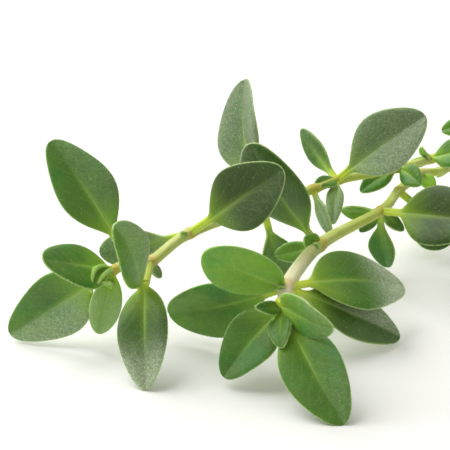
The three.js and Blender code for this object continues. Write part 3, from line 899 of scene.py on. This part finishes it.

# %% The leaf's colours and surface
# the veins' pale green, also used for the rim's broken pale line, which is partly the margin's own
# colour and partly painted rim light
PALE_VEIN_AND_LIT_RIM, STALK_GREEN = paint(196, 220, 138), paint(202, 222, 72)
# the bloom's grey, which carries the painted sheen, and the pale of the oil glands
SHEEN_BLOOM_GREY, GLAND_PALE = paint(176, 190, 160), paint(222, 230, 210)
GREEN_PATCHES, FINE_PATCHES, GLINT_POWDER = (2.2 * MM, 1.1), (0.3 * MM, 0.5), (0.12 * MM, 1.0)
LEAF_GLANDS = (0.17 * MM, 0.3)
GLINT_POWDER_GAIN, GLINT_POWDER_MEAN = 1.7, 0.63
RIM_EDGE, RIM_BREAKS, RIM_MEAN = (0.11, 0.01), 3.0, 0.5
STALK_RANGE = (0.1, -0.06)
GLAND_SHARE, GLAND_SHEEN_BLOOM_SHARE = 0.05, 0.8  # glands show most where the bloom lies, brightened there into painted glints
ROUGHNESS, ROUGHNESS_CHANGE = 0.46, 0.5
GLAND_HEIGHT, GRAIN_HEIGHT, VEIN_DEPTH, LEAF_BUMP = 0.5, 2.4, 1.6, (0.7, 0.05 * MM)
LEAF_SURFACE = {"Subsurface Weight": 0.25, "Subsurface Radius": (0.45, 1.0, 0.16),
                "Subsurface Scale": 0.5 * MM, "Sheen Weight": 0.08, "Sheen Roughness": 0.4,
                "Specular IOR Level": 0.4}


def leaf_finish(tree):
    place, bloom = marked(tree, "leaf_place"), marked(tree, "bloom")
    rib_gap, rim_gap = marked(tree, "rib_gap"), marked(tree, "rim_gap")
    mottle, fine = patches(tree, *GREEN_PATCHES), patches(tree, *FINE_PATCHES)
    dots = glands(tree, *LEAF_GLANDS)
    # a fine grain that breaks the painted sheen into painted glints
    grain = plus(tree, patches(tree, *GLINT_POWDER), fine)
    glint_powder = maths(tree, "MULTIPLY_ADD", grain, GLINT_POWDER_GAIN, GLINT_POWDER_MEAN)
    veins = vein_mask(tree, place, rib_gap, rim_gap, mottle)
    broken = maths(tree, "MULTIPLY_ADD", fine, RIM_BREAKS, RIM_MEAN)
    # gland specks: real oil glands, brightened into painted glints where the painted sheen lies
    speckle = maths(tree, "MULTIPLY_ADD", bloom, GLAND_SHEEN_BLOOM_SHARE, GLAND_SHARE)
    colour = layered(
        tree, blade_green(tree, place, rib_gap, mottle, fine),
        # the bloom with its painted sheen and painted glints
        (times(tree, bloom, glint_powder), SHEEN_BLOOM_GREY),
        (veins, PALE_VEIN_AND_LIT_RIM),
        # the rim's broken pale line, partly painted rim light
        (times(tree, ranged(tree, rim_gap, *RIM_EDGE), broken), PALE_VEIN_AND_LIT_RIM),
        (times(tree, dots, speckle), GLAND_PALE),
        (ranged(tree, place, *STALK_RANGE), STALK_GREEN))
    # sunken veins, raised glands, a fine grain
    height = plus(tree, times(tree, dots, GLAND_HEIGHT), times(tree, fine, GRAIN_HEIGHT))
    height = maths(tree, "SUBTRACT", height, times(tree, veins, VEIN_DEPTH))
    return {"Base Color": colour, "Normal": bumped(tree, height, *LEAF_BUMP),
            "Roughness": maths(tree, "MULTIPLY_ADD", fine, ROUGHNESS_CHANGE, ROUGHNESS)}


LEAF = new_material("thyme_leaf", LEAF_SURFACE, leaf_finish)

# %% [markdown]
# ## The stem's finish
#
# A young stem is lime or cream, with fine fibres along it and a golden ring at each joint, and it
# turns to thin brown bark towards the cut, where pale pith shows. Bands of colour could be put on
# by hand, but the sweep carries its marks along: how far it has walked, how ripe it is and how
# near a joint is. The fibres are a noise whose coordinates wrap round the stem.

# %% Fibres along a stem
FIBRE_RING, FIBRE_RUN = 3.0, 0.35  # a short run draws the noise out along the stem
FIBRE_NOISE = {"Scale": 1.6, "Detail": 4.0}


def fibres(tree):
    around = marked(tree, "around")
    ring = step(tree, "ShaderNodeCombineXYZ", {
        "X": times(tree, maths(tree, "COSINE", around), FIBRE_RING),
        "Y": times(tree, maths(tree, "SINE", around), FIBRE_RING),
        "Z": times(tree, marked(tree, "walked"), FIBRE_RUN)})
    return step(tree, "ShaderNodeTexNoise", {"Vector": ring, **FIBRE_NOISE})


print("on a stem 1 mm thick a fibre is", round(FIBRE_RING / 0.5 / FIBRE_RUN), "times longer than wide")

# %% The stem's colours and surface
STEM_LIME, STEM_CREAM, STEM_FIBRE = paint(174, 192, 56), paint(242, 236, 206), paint(224, 224, 144)
STEM_JOINT, STEM_BARK, STEM_PITH = paint(196, 168, 46), paint(158, 128, 88), paint(222, 226, 180)
BARK_STREAK, CUT_WOOD = paint(122, 92, 58), paint(210, 198, 140)
BARK_RANGE, CUT_RANGE = (0.62, 0.95), (0.9965, 0.9995)  # as shares of the way to the cut
PITH_RANGE = (-0.1, 0.12)
TINT_PATCHES, CUT_GRAIN = (1.5 * MM, 0.8), (0.2 * MM, 1.0)
FIBRE_EDGE, FIBRE_SHARE = (0.4, 0.7), 0.5
STREAK_EDGE, JOINT_STREAK = (0.45, 0.65), 0.4
JOINT_SHARE, GLAND_ON_STEM = 0.6, 0.2
STEM_ROUGHNESS, FIBRE_ROUGHNESS = 0.4, 0.3
STEM_GLANDS, GLAND_RISE, STEM_BUMP = (0.3 * MM, 0.25), 0.4, (0.6, 0.06 * MM)
STEM_SURFACE = {"Subsurface Weight": 0.45, "Subsurface Radius": (1.0, 0.95, 0.5),
                "Subsurface Scale": 0.6 * MM, "Sheen Weight": 0.12, "Specular IOR Level": 0.3}


def stem_finish(tree):
    ripe, joint, fibre = marked(tree, "ripeness"), marked(tree, "joint"), fibres(tree)
    dots = glands(tree, *STEM_GLANDS)
    tint = plus(tree, marked(tree, "tint"), patches(tree, *TINT_PATCHES))
    # thin bark has darker streaks, most of all at the joints, and the cut shows its pith
    streak = plus(tree, times(tree, joint, JOINT_STREAK), ranged(tree, fibre, *STREAK_EDGE))
    bark = blend(tree, streak, STEM_BARK, BARK_STREAK)
    grain = ranged(tree, patches(tree, *CUT_GRAIN), *PITH_RANGE)
    colour = layered(
        tree, blend(tree, ranged(tree, tint, 0.0, 1.0), STEM_LIME, STEM_CREAM),
        (times(tree, ranged(tree, fibre, *FIBRE_EDGE), FIBRE_SHARE), STEM_FIBRE),
        (times(tree, joint, JOINT_SHARE), STEM_JOINT),
        (ranged(tree, ripe, *BARK_RANGE), bark),
        (times(tree, dots, GLAND_ON_STEM), GLAND_PALE),
        (ranged(tree, ripe, *CUT_RANGE), blend(tree, grain, STEM_PITH, CUT_WOOD)))
    # fibres and glands stand out
    height = plus(tree, fibre, times(tree, dots, GLAND_RISE))
    return {"Base Color": colour, "Normal": bumped(tree, height, *STEM_BUMP),
            "Roughness": plus(tree, times(tree, fibre, FIBRE_ROUGHNESS), STEM_ROUGHNESS)}


STEM = new_material("thyme_stem", STEM_SURFACE, stem_finish)

# %% [markdown]
# ## From lines to stems
#
# Each sprig has one line through its joints, and the left one has a short spur as well, which
# carries a drooping leaf. The sweep turns each line into a skin. Two skins of one sprig are joined,
# since they are one living piece, and whatever would sink into the table is laid on it, as a soft
# stem flattens a little where it lies.

# %% Grow the stems
stems = {}
for name, pieces in sources.items():
    runs = [grown(piece, SWEEP, f"{name}_run", {"Material": STEM, "Squareness": SQUARENESS})
            for piece in pieces]
    for piece in pieces:
        bpy.data.objects.remove(piece)
    if len(runs) > 1:
        with bpy.context.temp_override(active_object=runs[0], selected_editable_objects=runs):
            bpy.ops.object.join()
    stems[name] = runs[0]
    stems[name].name = stems[name].data.name = f"{name}_stem"
    for vertex in stems[name].data.vertices:
        vertex.co.z = max(vertex.co.z, TABLE_GAP)
    print(name, "stem:", len(stems[name].data.polygons), "faces")

# %% [markdown]
# ## Fine hairs
#
# Thyme is downy: short pale hairs stand along each rim, on the blade and all over the stem, and
# they soften every outline. Particle hair would be easy, but it is left out when a model is
# exported. Here Geometry Nodes scatter points over a skin, more where the skin says that it is
# hairy, and put a three-sided spike on each. The spikes lean at random and differ in length.

# %% The hairs' finish
HAIR_GREENISH, HAIR_WHITE = paint(206, 218, 176), paint(240, 242, 228)
HAIR_PATCHES = (1 * MM, 1.5)
HAIR_ROUGHNESS, PALE_HAIR_ROUGHNESS = 0.4, 0.2  # the whitest has both


def hair_finish(tree):
    shade = plus(tree, patches(tree, *HAIR_PATCHES), 0.5)
    rough = plus(tree, times(tree, shade, PALE_HAIR_ROUGHNESS), HAIR_ROUGHNESS)
    return {"Base Color": blend(tree, shade, HAIR_GREENISH, HAIR_WHITE), "Roughness": rough}


HAIR = new_material("thyme_hair", {}, hair_finish)

# %% One hair and where it stands
HAIR_SIDES = 3
SHORTEST, LONGEST = 0.5, 1.4  # a hair's length as a share of the length asked for
LOWEST_HAIR_ROOT = 0.3 * MM  # the skin rests on the table below this height
PER_MM2 = 1e6  # hairs on a square metre for one on a square millimetre


def hair_roots(tree, given):
    """Points over the skin, closer together where it is hairier, none where it rests."""
    per_metre = times(tree, given["Hairs per mm2"], PER_MM2)
    position = step(tree, "GeometryNodeInputPosition", {})
    height = step(tree, "ShaderNodeSeparateXYZ", {0: position}, "Z")
    return step(tree, "GeometryNodeDistributePointsOnFaces", {
        "Mesh": given["Skin"], "Seed": given["Seed"],
        "Density": times(tree, per_metre, point_mark(tree, "hairiness")),
        "Selection": maths(tree, "GREATER_THAN", height, LOWEST_HAIR_ROOT)}).node.outputs


def hair_shape(tree, given, normal):
    """How a hair stands, which is off its skin with a random lean, and how big it is."""
    astray = step(tree, "FunctionNodeRandomValue", {
        0: (-1.0, -1.0, -1.0), 1: (1.0, 1.0, 1.0), "Seed": given["Seed"]},
        data_type="FLOAT_VECTOR")
    lean = scaled(tree, astray, given["Lean"])
    toward = maths(tree, "ADD", normal, lean, kind="ShaderNodeVectorMath")
    stance = step(tree, "FunctionNodeAlignRotationToVector", {"Vector": toward}, axis="Z")
    varied = step(tree, "FunctionNodeRandomValue", {
        2: SHORTEST, 3: LONGEST, "Seed": given["Seed"]}, 1, data_type="FLOAT")
    size = step(tree, "ShaderNodeCombineXYZ", {
        "X": given["Root Width"], "Y": given["Root Width"],
        "Z": times(tree, given["Length"], varied)})
    return stance, size


# %% A tree that grows hairs on a skin
def hair_tree():
    tree, given, result = new_tree("grow_fine_hairs", "GeometryNodeTree", [
        ("Skin", "Geometry", None), ("Hairs per mm2", "Float", 8.0),
        ("Length", "Float", 0.1 * MM), ("Root Width", "Float", 0.02 * MM),
        ("Lean", "Float", 0.5), ("Seed", "Int", 1),
        ("Material", "Material", None)], [("Hairs", "Geometry")])
    roots = hair_roots(tree, given)
    stance, size = hair_shape(tree, given, roots["Normal"])
    spike = step(tree, "GeometryNodeMeshCone", {
        "Vertices": HAIR_SIDES, "Radius Top": 0.0, "Radius Bottom": 0.5, "Depth": 1.0})
    copies = step(tree, "GeometryNodeInstanceOnPoints", {
        "Points": roots["Points"], "Instance": spike, "Rotation": stance, "Scale": size})
    finish_tree(tree, copies, given["Material"], result["Hairs"])
    return tree


GROW_HAIRS = hair_tree()
print("the hair tree has", len(GROW_HAIRS.nodes), "nodes")

# %% Grow the hairs
# down is the soft cover of hairs on each kind of skin
DOWN_INPUTS = ("Hairs per mm2", "Length", "Root Width", "Lean")
DOWN = {"leaves": (24.0, 0.12 * MM, 0.026 * MM, 0.7),
        "young_leaves": (16.0, 0.1 * MM, 0.022 * MM, 0.7),
        "stem": (11.0, 0.2 * MM, 0.026 * MM, 0.6)}
for piece in stems.values():
    add_marks(piece.data, {"hairiness": np.ones(len(piece.data.vertices))})
skins = {**blades, **{(name, "stem"): piece for name, piece in stems.items()}}
hairs = {}
for number, ((name, kind), skin) in enumerate(skins.items()):
    settings = dict(zip(DOWN_INPUTS, DOWN[kind]), Seed=number + 1, Material=HAIR)
    hairs[name, kind] = grown(skin, GROW_HAIRS, f"{name}_{kind}_hairs", settings)
    print(hairs[name, kind].name, len(hairs[name, kind].data.polygons), "faces")

# %% [markdown]
# ## Which solid each piece stands for
#
# A sprig is one solid, shown here by six finer pieces: leaves, young leaves and stem, each with its
# hairs. Every piece rides on the one body and replaces its sprig's solid. The solids stay hidden
# underneath, where physics still uses them.

# %% Dress the pieces
for piece in blades.values():
    piece.data.materials.append(LEAF)
for pieces in (skins, hairs):
    for (name, kind), piece in pieces.items():
        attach(piece, "root")
        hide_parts(name)
print("dressed:", len(skins) + len(hairs), "pieces")

# %% [markdown]
# ## Table, light and camera
#
# Fresh herbs look best in plain daylight. A white table and a pale room fill the shadows, and one
# large soft lamp behind the sprigs, like a window, draws their shadows towards the viewer and
# lights the hairs on each rim. A long lens from a little above keeps the small leaves in
# proportion. The table is stage, not part of the model.

# %% The table
TABLE_HALF = 1.5
TABLE_SURFACE = {"Base Color": (0.9, 0.9, 0.89, 1), "Roughness": 0.7, "Specular IOR Level": 0.2}

corners = [(-TABLE_HALF, -TABLE_HALF, 0), (TABLE_HALF, -TABLE_HALF, 0),
           (TABLE_HALF, TABLE_HALF, 0), (-TABLE_HALF, TABLE_HALF, 0)]
mesh = bpy.data.meshes.new("table_top")
mesh.from_pydata(corners, [], [(0, 1, 2, 3)])
mesh.materials.append(new_material("white_table", TABLE_SURFACE))
put("table_top", mesh)
print("table:", 2 * TABLE_HALF, "m wide")

# %% The camera
TARGET = Vector((-0.0114, 0.0174, 0.0))  # a place on the table among the tips
BACK = Vector((-0.748, -0.524, 0.407)).normalized()  # from there to the camera
DISTANCE, VIEW_WIDTH, NEAREST, SENSOR_MM = 0.33, 0.038, 0.01, 36

camera = put("camera", bpy.data.cameras.new("camera"))
camera.location = TARGET + DISTANCE * BACK
camera.rotation_euler = BACK.to_track_quat("Z", "Y").to_euler()
camera.data.sensor_width = SENSOR_MM
camera.data.lens = SENSOR_MM * DISTANCE / VIEW_WIDTH
camera.data.clip_start = NEAREST
bpy.context.scene.camera = camera
print("lens:", round(camera.data.lens), "mm")

# %% The light
WINDOW_SIDE = Vector((-0.1, 0.7, 0.8)).normalized()
WINDOW_DISTANCE, WINDOW_SIZE, WINDOW_POWER = 0.45, 0.5, 2.9
ROOM_COLOUR, ROOM_STRENGTH = (1, 0.98, 0.9, 1), 0.5

window = put("window", bpy.data.lights.new("window", "AREA"))
window.location = WINDOW_SIDE * WINDOW_DISTANCE
window.rotation_euler = WINDOW_SIDE.to_track_quat("Z", "Y").to_euler()
window.data.size = WINDOW_SIZE
window.data.energy = WINDOW_POWER
room = bpy.data.worlds.new("bright_room")
room.use_nodes = True
room.node_tree.nodes["Background"].inputs["Color"].default_value = ROOM_COLOUR
room.node_tree.nodes["Background"].inputs["Strength"].default_value = ROOM_STRENGTH
bpy.context.scene.world = room
bpy.context.scene.view_settings.view_transform = "Standard"
print("window:", WINDOW_POWER, "W from", WINDOW_DISTANCE, "m away")
